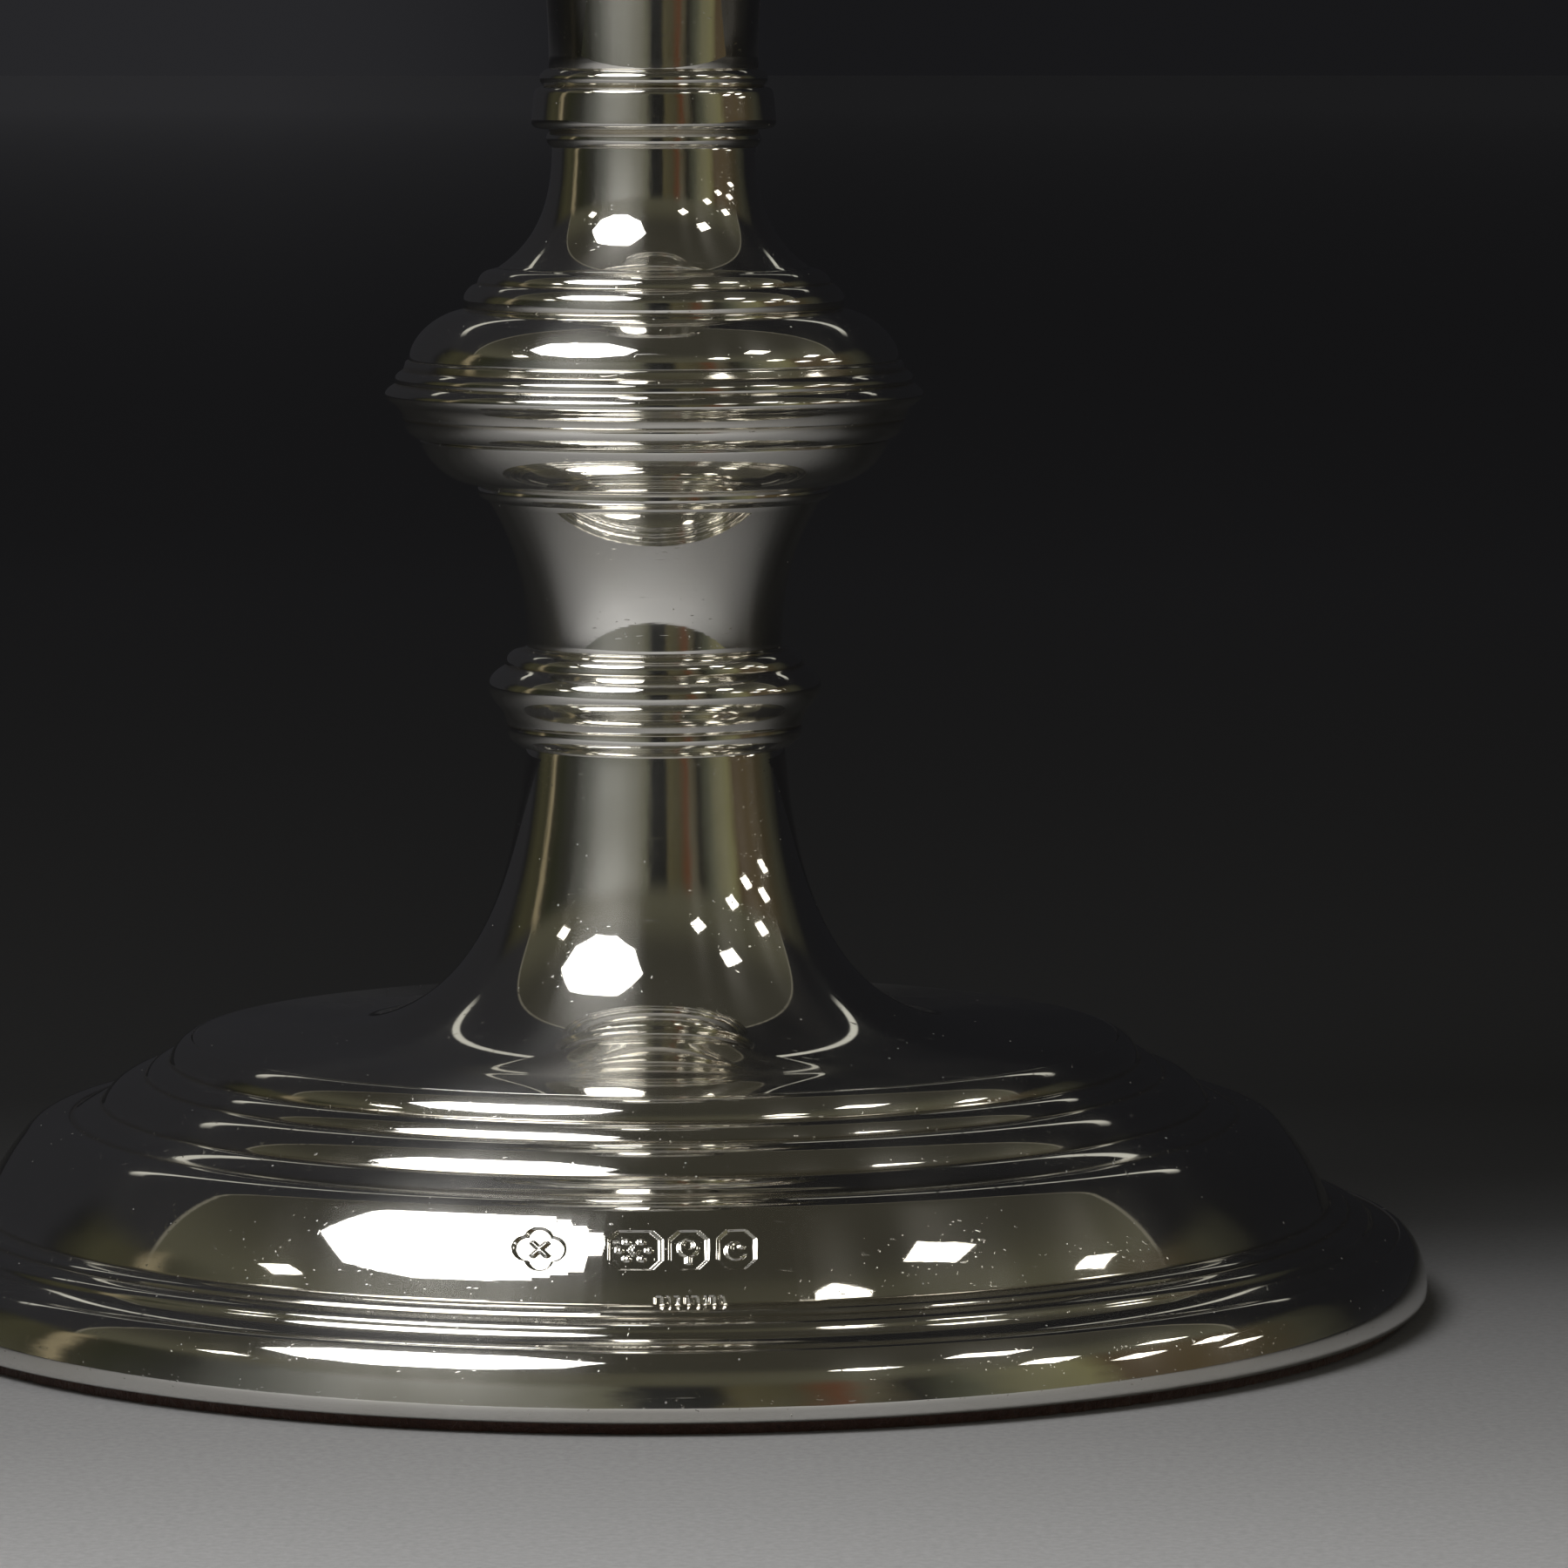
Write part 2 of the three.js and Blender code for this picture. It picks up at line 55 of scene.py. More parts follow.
FOCAL_LENGTH = 178.54  # millimetres, on a frame 36 mm wide
CAMERA_DISTANCE = 0.625  # from the axis
CAMERA_HEIGHT = 0.1021  # above the top of the felt
CAMERA_PITCH = math.radians(5.566)
CAMERA_YAW = math.radians(0.956)
TABLE_EDGE = 0.24  # how far the table reaches in front of the axis


# ---------------------------------------------------------------- places from the frame, in millimetres
def bottom(node):
    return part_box(node)[0].z / MM


def top(node):
    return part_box(node)[1].z / MM


def reach(node):
    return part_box(node)[1].x / MM


FOOT_RADIUS = reach("foot_shell")
FELT_TOP = top("felt_pad")
WALL = 0.8  # silver sheet
WELL = bottom("trumpet_shell") + WALL
BRIM = reach("trumpet_shell")


# ---------------------------------------------------------------- outlines
class Outline:
    """A turned outline in millimetres, drawn from point to point: radius first, then height."""

    def __init__(self, radius, height):
        self.points = [Vector((radius, height))]

    def line(self, radius, height):
        self.points.append(Vector((radius, height)))
        return self

    def arc(self, radius, height, bulge, steps=8):
        """A shallow arc, bulging to the right of the way it is drawn."""
        start = self.points[-1].copy()
        chord = Vector((radius, height)) - start
        side = Vector((chord.y, -chord.x)).normalized()
        for step in range(1, steps + 1):
            share = step / steps
            self.points.append(start + chord * share + side * (4 * share * (1 - share) * bulge))
        return self

    def sweep(self, guide_a, guide_b, end, steps=20):
        """A smooth curve with two guide points."""
        start = self.points[-1].copy()
        a, b, c = Vector(guide_a), Vector(guide_b), Vector(end)
        for step in range(1, steps + 1):
            t = step / steps
            s = 1 - t
            self.points.append(start * s ** 3 + a * (3 * s * s * t) + b * (3 * s * t * t) + c * t ** 3)
        return self


def lined(outer, wall, thin=3):
    """Closes an outer line, drawn upwards, with an inner line one wall inside it."""
    points = outer.points
    inner = []
    for index in range(len(points) - 1, -1, -thin):
        before = points[max(index - 2, 0)]
        after = points[min(index + 2, len(points) - 1)]
        along = (after - before).normalized()
        inner.append(Vector((points[index].x - along.y * wall, points[index].y + along.x * wall)))
    inner[0] = Vector((points[-1].x - wall, points[-1].y))
    inner[-1] = Vector((points[0].x - wall, points[0].y))
    outer.points = points + inner
    return outer


# ---------------------------------------------------------------- modelling
def start_fresh():
    if bpy.context.object and bpy.context.object.mode != "OBJECT":
        bpy.ops.object.mode_set(mode="OBJECT")
    bpy.ops.object.select_all(action="DESELECT")


def finish_with(piece, kind, **settings):
    """Adds a modifier and applies it."""
    modifier = piece.modifiers.new(kind.title(), kind)
    for name, value in settings.items():
        setattr(modifier, name, value)
    bpy.context.view_layer.objects.active = piece
    bpy.ops.object.modifier_apply(modifier=modifier.name)


def turned(name, outline, around=AROUND, closed=True):
    """Draws the outline as a wire beside the axis, spins it round, and softens its creases."""
    start_fresh()
    bpy.ops.mesh.primitive_plane_add(size=MM, location=(0, 0, 0))
    piece = bpy.context.object
    piece.name = name
    points = [Vector((p.x * MM, 0, p.y * MM)) for p in outline.points]
    if closed and points[0].x > 0:
        points.append(points[0].copy())
    bpy.ops.object.mode_set(mode="EDIT")
    bpy.ops.mesh.select_mode(type="VERT")
    bpy.ops.mesh.select_all(action="SELECT")
    bpy.ops.mesh.merge(type="CENTER")
    bpy.ops.transform.translate(value=points[0])
    for here, there in zip(points, points[1:]):
        bpy.ops.mesh.extrude_region_move(TRANSFORM_OT_translate={"value": there - here})
    bpy.ops.mesh.select_all(action="SELECT")
    bpy.ops.mesh.remove_doubles(threshold=WELD)
    bpy.ops.mesh.spin(steps=around, angle=math.tau, center=(0, 0, 0), axis=(0, 0, 1))
    bpy.ops.mesh.select_all(action="SELECT")
    bpy.ops.mesh.remove_doubles(threshold=WELD)
    bpy.ops.mesh.normals_make_consistent(inside=False)
    bpy.ops.object.mode_set(mode="OBJECT")
    finish_with(piece, "BEVEL", width=CREASE_WIDTH, segments=2, limit_method="ANGLE",
                angle_limit=CREASE_ANGLE, use_clamp_overlap=False)
    mark_length(piece, outline)
    bpy.ops.object.shade_smooth_by_angle(angle=SMOOTH_ANGLE)
    return piece


def mark_length(piece, outline):
    """Stores on each vertex how far along the outline it lies, and how deep in a groove."""
    line = np.array([(p.x * MM, p.y * MM) for p in outline.points])
    steps = np.hypot(*np.diff(line, axis=0).T)
    length = np.concatenate([[0], np.cumsum(steps)])
    turn = np.zeros(len(line))
    ahead = line[2:] - line[1:-1]
    behind = line[1:-1] - line[:-2]
    turn[1:-1] = behind[:, 0] * ahead[:, 1] - behind[:, 1] * ahead[:, 0]
    turn[1:-1] /= np.hypot(*behind.T) * np.hypot(*ahead.T)
    groove = np.clip(-turn * 1.6, 0, 1)
    spots = np.empty(len(piece.data.vertices) * 3)
    piece.data.vertices.foreach_get("co", spots)
    spots = spots.reshape(-1, 3)
    radius = np.hypot(spots[:, 0], spots[:, 1])
    nearest = np.hypot(radius[:, None] - line[None, :, 0], spots[:, 2][:, None] - line[None, :, 1]).argmin(1)
    for label, values in (("along", length), ("groove", groove)):
        attribute = piece.data.attributes.new(label, "FLOAT", "POINT")
        attribute.data.foreach_set("value", values[nearest].astype(np.float32))


def put_on(piece, material, body, slot, *nodes):
    piece.data.materials.clear()
    piece.data.materials.append(material)
    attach(piece, body)
    if nodes:
        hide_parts(*nodes)


# ---------------------------------------------------------------- materials
class Finish:
    """A node material, put together a step at a time."""

    def __init__(self, name):
        self.material = bpy.data.materials.new(name)
        self.material.use_nodes = True
        self.tree = self.material.node_tree
        self.shader = self.tree.nodes["Principled BSDF"]

    def add(self, kind, **settings):
        node = self.tree.nodes.new(kind)
        for name, value in settings.items():
            if name in node.inputs:
                node.inputs[name].default_value = value
            else:
                setattr(node, name, value)
        return node

    def link(self, source, target):
        self.tree.links.new(source, target)

    def place(self):
        return self.add("ShaderNodeTexCoord").outputs["Object"]

    def stored(self, label):
        return self.add("ShaderNodeAttribute", attribute_name=label).outputs["Fac"]

    def noise(self, vector, scale, detail=3.0, roughness=0.5):
        node = self.add("ShaderNodeTexNoise", Scale=scale, Detail=detail, Roughness=roughness)
        self.link(vector, node.inputs["Vector"])
        return node.outputs["Fac"]

    def remap(self, value, low, high, to_low=0.0, to_high=1.0):
        node = self.add("ShaderNodeMapRange")
        for index, number in enumerate((low, high, to_low, to_high), start=1):
            node.inputs[index].default_value = number
        self.link(value, node.inputs[0])
        return node.outputs[0]

    def maths(self, operation, first, second=None):
        node = self.add("ShaderNodeMath", operation=operation)
        for index, value in enumerate((first, second)):
            if isinstance(value, (int, float)):
                node.inputs[index].default_value = value
            elif value is not None:
                self.link(value, node.inputs[index])
        return node.outputs[0]

    def blend(self, share, first, second):
        node = self.add("ShaderNodeMix", data_type="RGBA")
        self.link(share, node.inputs["Factor"])
        for name, value in (("A", first), ("B", second)):
            socket = [s for s in node.inputs if s.name == name and s.type == "RGBA"][0]
            if isinstance(value, tuple):
                socket.default_value = (*value, 1)
            else:
                self.link(value, socket)
        return [s for s in node.outputs if s.type == "RGBA"][0]

    def bump(self, height, distance, strength=1.0, over=None):
        node = self.add("ShaderNodeBump", Strength=strength, Distance=distance)
        self.link(height, node.inputs["Height"])
        if over is not None:
            self.link(over, node.inputs["Normal"])
        return node.outputs["Normal"]


def round_and_along(finish, around_scale, along_scale):
    """Coordinates that run round the axis and along the outline, with no seam."""
    split = finish.add("ShaderNodeSeparateXYZ")
    finish.link(finish.place(), split.inputs[0])
    x, y = split.outputs[0], split.outputs[1]
    square = finish.maths("ADD", finish.maths("MULTIPLY", x, x), finish.maths("MULTIPLY", y, y))
    radius = finish.maths("MAXIMUM", finish.maths("SQRT", square), 0.0001)
    join = finish.add("ShaderNodeCombineXYZ")
    finish.link(finish.maths("MULTIPLY", finish.maths("DIVIDE", x, radius), around_scale), join.inputs[0])
    finish.link(finish.maths("MULTIPLY", finish.maths("DIVIDE", y, radius), around_scale), join.inputs[1])
    finish.link(finish.maths("MULTIPLY", finish.stored("along"), along_scale), join.inputs[2])
    return join.outputs[0]


def hairlines(finish, turn, stretch, scale, keep):
    """Fine straight scratches: stretched noise, turned to lie one way, of which only the peaks are kept."""
    mapping = finish.add("ShaderNodeMapping", Rotation=turn, Scale=stretch)
    finish.link(finish.place(), mapping.inputs["Vector"])
    return finish.remap(finish.noise(mapping.outputs[0], scale, 1.0), keep, keep + 0.05)


def polished_silver():
    finish = Finish("polished_silver")
    shader = finish.shader
    place = finish.place()
    cloud = finish.noise(place, 55, 4.0)
    breath = finish.noise(place, 170, 3.0)
    groove = finish.stored("groove")
    polish = finish.noise(round_and_along(finish, 9, 5200), 1.0, 2.0)
    scratch = finish.maths("MAXIMUM",
                           hairlines(finish, (0.4, 0.2, 0.7), (0.03, 1.0, 1.0), 3300, 0.72),
                           hairlines(finish, (-0.3, 0.5, -0.5), (1.0, 0.03, 1.0), 3000, 0.73))
    speck = finish.add("ShaderNodeTexVoronoi", Scale=1300.0)
    finish.link(place, speck.inputs["Vector"])
    split = finish.add("ShaderNodeSeparateColor")
    finish.link(speck.outputs["Color"], split.inputs[0])
    rare = finish.maths("GREATER_THAN", split.outputs[0], 0.93)
    size = finish.remap(split.outputs[1], 0, 1, 0.03, 0.13)
    dust = finish.maths("MULTIPLY", rare, finish.maths("LESS_THAN", speck.outputs["Distance"], size))

    cloudy = finish.remap(cloud, 0.45, 0.8, 0, 0.35)
    tarnish = finish.maths("ADD", cloudy, finish.maths("MULTIPLY", groove, 0.75))
    colour = finish.blend(tarnish, (0.93, 0.915, 0.872), (0.66, 0.61, 0.50))
    colour = finish.blend(dust, colour, (0.62, 0.61, 0.58))
    finish.link(colour, shader.inputs["Base Color"])

    rough = finish.remap(breath, 0.35, 0.75, 0.022, 0.045)
    rough = finish.maths("ADD", rough, finish.maths("MULTIPLY", scratch, 0.16))
    rough = finish.maths("ADD", rough, finish.maths("MULTIPLY", groove, 0.12))
    rough = finish.maths("ADD", rough, finish.maths("MULTIPLY", dust, 0.55))
    finish.link(rough, shader.inputs["Roughness"])
    finish.link(finish.maths("SUBTRACT", 1.0, dust), shader.inputs["Metallic"])

    wave = finish.bump(finish.noise(place, 75, 1.0), 0.00003)
    lathe = finish.bump(polish, 0.0000007, over=wave)
    marks = finish.bump(scratch, 0.000004, over=lathe)
    normal = finish.bump(dust, 0.00004, over=marks)
    finish.link(normal, shader.inputs["Normal"])

    # Polishing left fine lines round the object, which smear bright reflections up and down.
    haze = finish.add("ShaderNodeBsdfAnisotropic", Roughness=0.27, Anisotropy=0.7)
    finish.link(colour, haze.inputs["Color"])
    finish.link(normal, haze.inputs["Normal"])
    round_it = finish.add("ShaderNodeVectorMath", operation="CROSS_PRODUCT")
    round_it.inputs[0].default_value = (0, 0, 1)
    finish.link(place, round_it.inputs[1])
    finish.link(round_it.outputs[0], haze.inputs["Tangent"])
    mix = finish.add("ShaderNodeMixShader")
    finish.link(finish.remap(breath, 0.35, 0.7, 0.08, 0.15), mix.inputs[0])
    finish.link(shader.outputs[0], mix.inputs[1])
    finish.link(haze.outputs[0], mix.inputs[2])
    finish.link(mix.outputs[0], finish.tree.nodes["Material Output"].inputs["Surface"])
    return finish.material


def baize():
    finish = Finish("baize")
    shader = finish.shader
    shader.inputs["Roughness"].default_value = 1.0
    shader.inputs["Sheen Weight"].default_value = 0.35
    shader.inputs["Sheen Roughness"].default_value = 0.6
    place = finish.place()
    fibre = finish.noise(place, 2600, 4.0, 0.7)
    patch = finish.noise(place, 180, 3.0)
    colour = finish.blend(finish.remap(fibre, 0.3, 0.75), (0.045, 0.018, 0.013), (0.16, 0.075, 0.052))
    colour = finish.blend(finish.remap(patch, 0.4, 0.8, 0, 0.5), colour, (0.10, 0.036, 0.026))
    finish.link(colour, shader.inputs["Base Color"])
    finish.link(finish.bump(fibre, 0.00025), shader.inputs["Normal"])
    return finish.material


def dull_steel():
    finish = Finish("dull_steel")
    shader = finish.shader
    shader.inputs["Metallic"].default_value = 1.0
    place = finish.place()
    mill = finish.noise(place, 900, 4.0)
    rust = finish.noise(place, 120, 5.0, 0.6)
    colour = finish.blend(finish.remap(rust, 0.52, 0.7), (0.36, 0.35, 0.33), (0.22, 0.12, 0.07))
    finish.link(colour, shader.inputs["Base Color"])
    finish.link(finish.remap(mill, 0.3, 0.7, 0.4, 0.65), shader.inputs["Roughness"])
    finish.link(finish.bump(mill, 0.00003), shader.inputs["Normal"])
    return finish.material


def poured_filling():
    finish = Finish("poured_filling")
    shader = finish.shader
    place = finish.place()
    grain = finish.noise(place, 1400, 5.0, 0.65)
    stain = finish.noise(place, 90, 3.0)
    colour = finish.blend(finish.remap(stain, 0.35, 0.7), (0.50, 0.45, 0.36), (0.36, 0.30, 0.22))
    colour = finish.blend(finish.remap(grain, 0.5, 0.8, 0, 0.6), colour, (0.66, 0.62, 0.53))
    finish.link(colour, shader.inputs["Base Color"])
    finish.link(finish.remap(grain, 0.3, 0.7, 0.8, 0.97), shader.inputs["Roughness"])
    finish.link(finish.bump(grain, 0.0002), shader.inputs["Normal"])
    return finish.material


def set_stops(ramp, stops):
    """Gives a colour ramp its stops, each a place from 0 to 1 and a colour."""
    elements = ramp.color_ramp.elements
    for index, (place, colour) in enumerate(stops):
        if index == 0:
            stop = elements[0]
        elif index == len(stops) - 1:
            stop = elements[-1]
        else:
            stop = elements.new(place)
        stop.position = place
        stop.color = (*colour, 1)


def table_paper():
    """Pale paper with painted shade that darkens it to charcoal behind the object and at the sides, and a
    painted glow far off.
    """
    finish = Finish("table_paper")
    place = finish.place()
    split = finish.add("ShaderNodeSeparateXYZ")
    finish.link(place, split.inputs[0])
    # Painted shade: the paper's colour runs from pale in front to near black behind the object, standing in
    # for the light falling off.
    painted_shade_ramp = finish.add("ShaderNodeValToRGB")
    finish.link(finish.remap(split.outputs[1], -TABLE_EDGE, 0.12), painted_shade_ramp.inputs[0])
    painted_shade_stops = ((-0.24, 0.72), (-0.15, 0.64), (-0.105, 0.50), (-0.06, 0.34), (-0.025, 0.25), (0.0, 0.18),
             (0.02, 0.115), (0.042, 0.062), (0.07, 0.036), (0.12, 0.022))
    near, far = painted_shade_stops[0][0], painted_shade_stops[-1][0]
    set_stops(painted_shade_ramp, [((place - near) / (far - near), (painted_shade_tone, painted_shade_tone, painted_shade_tone * 1.02)) for place, painted_shade_tone in painted_shade_stops])
    # Painted shade: the paper also darkens towards both sides.
    aside = finish.remap(finish.maths("ABSOLUTE", split.outputs[0]), 0.1, 0.55, 0.0, 0.93)
    painted_shade_tone = finish.blend(aside, painted_shade_ramp.outputs[0], (0.02, 0.02, 0.021))
    grain = finish.noise(place, 1500, 3.0, 0.6)
    finish.link(finish.blend(finish.remap(grain, 0.3, 0.7, 0, 0.16), painted_shade_tone, (0.0, 0.0, 0.0)),
                finish.shader.inputs["Base Color"])
    finish.shader.inputs["Roughness"].default_value = 0.75
    finish.shader.inputs["Specular IOR Level"].default_value = 0.15
    finish.link(finish.bump(grain, 0.00004), finish.shader.inputs["Normal"])
    # Far off, the paper glows with painted light, an emission that lifts it into the same dim grey as the
    # backdrop.
    distance = finish.maths("ADD", split.outputs[1], CAMERA_DISTANCE)
    # The painted glow is brighter towards the left.
    painted_glow_aside = finish.remap(finish.maths("DIVIDE", split.outputs[0], distance), 0.02, -0.05)
    glow = finish.blend(painted_glow_aside, (0.0080, 0.0080, 0.0090), (0.0190, 0.0190, 0.0210))
    glow = finish.blend(finish.remap(split.outputs[1], 1.0, 9.0), (0.0030, 0.0030, 0.0038), glow)
    finish.link(glow, finish.shader.inputs["Emission Color"])
    finish.link(finish.remap(split.outputs[1], 0.12, 0.8), finish.shader.inputs["Emission Strength"])
    return finish.material


# ---------------------------------------------------------------- base
def make_felt(material):
    radius = reach("felt_pad") * MM
    thickness = FELT_TOP * MM
    start_fresh()
    bpy.ops.mesh.primitive_cylinder_add(vertices=420, radius=radius, depth=thickness,
                                        location=(0, 0, thickness / 2))
    felt = bpy.context.object
    felt.name = "felt"
    bpy.ops.object.transform_apply(location=True)
    bpy.ops.object.mode_set(mode="EDIT")
    bpy.ops.mesh.select_mode(type="FACE")
    bpy.ops.mesh.select_all(action="DESELECT")
    bpy.ops.object.mode_set(mode="OBJECT")
    for face in felt.data.polygons:
        face.select = abs(face.normal.z) > 0.5
    bpy.ops.object.mode_set(mode="EDIT")
    bpy.ops.mesh.inset(thickness=0.0006)
    bpy.ops.mesh.select_all(action="INVERT")
    bpy.ops.mesh.subdivide(number_cuts=3)
    bpy.ops.object.mode_set(mode="OBJECT")
    fuzz = bpy.data.textures.new("felt_fuzz", "CLOUDS")
    fuzz.noise_scale = 0.0009
    finish_with(felt, "DISPLACE", texture=fuzz, texture_coords="GLOBAL", strength=0.00035, mid_level=0.5)
    for vertex in felt.data.vertices:
        vertex.co.z = min(max(vertex.co.z, 0.0), thickness)
    bpy.ops.object.shade_smooth_by_angle(angle=SMOOTH_ANGLE)
    put_on(felt, material, "stick", "baize", "felt_pad")


def make_felt_fibres(material):
    """Loose fibres along the cut edge of the felt."""
    draw = random.Random(41)
    radius = reach("felt_pad") * MM
    start_fresh()
    bpy.ops.mesh.primitive_cylinder_add(vertices=3, radius=0.00002, depth=0.001, end_fill_type="TRIFAN")
    fibre = bpy.context.object
    bpy.ops.object.mode_set(mode="EDIT")
    bpy.ops.mesh.select_all(action="SELECT")
    bpy.ops.mesh.bisect(plane_co=(0, 0, 0.0002), plane_no=(0, 0, 1))
    bpy.ops.mesh.select_all(action="SELECT")
    bpy.ops.mesh.bisect(plane_co=(0, 0, -0.0002), plane_no=(0, 0, 1))
    bpy.ops.object.mode_set(mode="OBJECT")
    for vertex in fibre.data.vertices:
        vertex.co.x += 0.00018 * (vertex.co.z / 0.0005) ** 2
    copies = []
    for count in range(420):
        copy = fibre.copy()
        copy.data = fibre.data.copy()
        bpy.context.scene.collection.objects.link(copy)
        turn = draw.uniform(0, math.tau)
        height = draw.uniform(0.0001, FELT_TOP * MM)
        out = radius + draw.uniform(-0.0002, 0.00035)
        copy.location = (out * math.cos(turn), out * math.sin(turn), height)
        copy.rotation_euler = (draw.uniform(0, math.tau), draw.uniform(-0.9, 0.9), turn)
        copy.scale = (1, 1, draw.uniform(0.35, 1.1))
        copies.append(copy)
    bpy.data.objects.remove(fibre)
    start_fresh()
    for copy in copies:
        copy.select_set(True)
    bpy.context.view_layer.objects.active = copies[0]
    bpy.ops.object.join()
    fibres = bpy.context.object
    fibres.name = "felt_fibres"
    bpy.ops.object.transform_apply(location=True, rotation=True, scale=True)
    for vertex in fibres.data.vertices:
        vertex.co.z = max(vertex.co.z, 0.00002)
    put_on(fibres, material, "stick", "baize")


# ---------------------------------------------------------------- foot
MARK_DEPTH = 0.17  # how deep the marks are stamped


def foot_outline():
    """From the lip under the rim, over rim, step, ledge, dome and three reeds, to the edge of the well."""
    rim, base = FOOT_RADIUS, FELT_TOP
    outline = Outline(rim - 2.5, base)
    outline.line(rim - 0.75, base)
    outline.arc(rim, base + 0.75, 0.16, 6)
    outline.sweep((rim, base + 1.9), (rim - 0.3, base + 2.9), (rim - 0.68, base + 3.78), 12)
    outline.sweep((rim - 0.87, base + 4.15), (rim - 1.08, base + 4.5), (rim - 1.46, base + 4.87), 8)
    outline.sweep((rim - 1.65, base + 5.05), (rim - 1.85, base + 5.24), (rim - 2.2, base + 5.27), 6)
    outline.line(rim - 2.35, base + 5.17)
    outline.sweep((rim - 3.1, base + 5.2), (rim - 3.8, base + 5.42), (rim - 4.4, base + 5.8), 8)
    outline.sweep((rim - 4.53, base + 5.95), (rim - 4.61, base + 6.05), (rim - 4.68, base + 6.2), 5)
    outline.arc(rim - 4.95, base + 6.6, 0.04, 4)
    outline.sweep((rim - 5.2, base + 6.78), (rim - 5.8, base + 6.86), (rim - 6.38, base + 6.98), 6)
    outline.line(rim - 6.55, base + 7.27)
    outline.sweep((rim - 6.8, base + 7.5), (rim - 7.3, base + 7.52), (rim - 7.8, base + 7.6), 5)
    outline.line(rim - 7.95, base + 7.68)
    outline.sweep((rim - 8.2, base + 8.22), (rim - 8.43, base + 8.73), (rim - 8.71, base + 9.27), 8)
    outline.sweep((rim - 9.5, base + 10.75), (rim - 10.6, base + 12.35), (rim - 11.84, base + 13.67), 20)
    outline.sweep((rim - 12.5, base + 14.37), (rim - 13.4, base + 14.72), (rim - 15.1, base + 14.75), 12)
    outline.line(rim - 15.3, base + 14.68)
    outline.arc(rim - 17.6, base + 15.8, 0.1, 5)
    outline.line(rim - 17.75, base + 15.8)
    outline.arc(rim - 21.1, base + 17.95, 0.54, 12)
    outline.line(rim - 21.3, base + 17.95)
    outline.arc(rim - 23.1, base + 19.15, 0.3, 9)
    outline.line(rim - 23.25, base + 19.15)
    outline.arc(BRIM, WELL, 0.34, 10)
    outline.line(BRIM, WELL - WALL)
    outline.line(BRIM - 2.7, WELL - WALL)
    outline.line(BRIM - 2.7, WELL - WALL * 2)
    outline.line(rim - 21.5, base + 16.8)
    outline.line(rim - 18, base + 14.6)
    outline.line(rim - 15, base + 13.7)
    outline.line(rim - 12.6, base + 12.8)
    outline.line(rim - 9.7, base + 8.8)
    outline.line(rim - 8.7, base + 6.6)
    outline.line(rim - 5.4, base + 5.5)
    outline.line(rim - 2.6, base + 4.1)
    outline.line(rim - 1.6, base + 3.2)
    outline.line(rim - 1.3, base + 1.5)
    outline.line(rim - 2.5, base + 0.9)
    return outline


def smooth(low, high, value):
    share = min(max((value - low) / (high - low), 0), 1)
    return share * share * (3 - 2 * share)


DIAGONAL = 0.7071  # one over the square root of two


def inside(distance, edge=0.09):
    """1 well inside a shape, 0 outside it, from the distance to its outline."""
    return smooth(edge, -edge, distance)


def cut_corner_box(u, v, half_width, half_height, corner):
    slanted = (abs(u) + abs(v) - half_width - half_height + corner) * DIAGONAL
    return max(abs(u) - half_width, abs(v) - half_height, slanted)


def pellet(u, v, across, up, size):
    return math.hypot(u - across, v - up) - size


def sprig(u, v):
    """Six pellets round a lozenge."""
    turns = [k * math.pi / 3 for k in range(6)]
    ring = min(pellet(u, v, 1.15 * math.cos(turn), 0.85 * math.sin(turn), 0.24) for turn in turns)
    return inside(min(ring, abs(u) * 1.2 + abs(v) - 0.5))


def bellflower(u, v):
    """A rounded cup on a short stalk."""
    cup = max(pellet(u, v, 0, 0.2, 0.78), 0.1 - v - 0.75)
    hollow = pellet(u, v, 0, 0.45, 0.4)
    stalk = max(abs(u) - 0.16, abs(v + 0.85) - 0.35)
    return inside(min(max(cup, -hollow), stalk))


def crescent(u, v):
    """A crescent with a pellet in its arms."""
    moon = max(pellet(u, v, -0.05, -0.1, 0.8), -pellet(u, v, 0.28, 0.1, 0.62))
    return inside(min(moon, pellet(u, v, 0.4, 0.25, 0.2)))


def lozenge_knot(u, v):
    """Two crossed bars in a lozenge."""
    bars = min(abs(u - v) - 0.2, abs(u + v) - 0.2)
    return inside(max(bars, abs(u) + abs(v) - 1.25))


def quatrefoil(u, v):
    return min(pellet(u, v, dx, dy, 1.0) for dx, dy in ((0.95, 0), (-0.95, 0), (0, 0.75), (0, -0.75)))


# Stamped marks: place round the foot and half sizes in millimetres, frame and device.
STAMPS = (
    (-8.7, 0, 0, quatrefoil, lozenge_knot),
    (-1.55, 1.95, 1.6, None, sprig),
    (2.45, 1.4, 1.6, None, bellflower),
    (6.05, 1.4, 1.6, None, crescent),
)
STAMP_HEIGHT = 11.5  # middle of the row, above the felt
# Small punched dots and strokes under the marks: place and half width.
DOTS = (
    (0.2, 0.26), (0.95, 0.13), (1.45, 0.2), (2.3, 0.12),
    (2.95, 0.24), (3.6, 0.13), (4.15, 0.22), (4.95, 0.14),
)
DOT_HEIGHT = 7.95
LEANS = (0, 0.3, -0.2)  # how far the dots and strokes slant, by turns


def stamp_depth(across, up, low):
    """Depth of the stamping, from 0 to 1, at a place on the front of the foot."""
    depth = 0
    for place, half_width, half_height, shape, device in STAMPS:
        u, v = across - place, up
        edge = shape(u, v) if shape else cut_corner_box(u, v, half_width, half_height, 0.75)
        if edge < 0.3:
            depth = max(depth, inside(edge) * (1 - 0.8 * device(u * 1.05, v * 1.05)))
    for index, (place, half_width) in enumerate(DOTS):
        if abs(across - place) < 0.5:
            aside = across - place + LEANS[index % 3] * low
            depth = max(depth, 0.5 * inside(max(abs(aside) - half_width, abs(low) - 0.36)))
    return depth


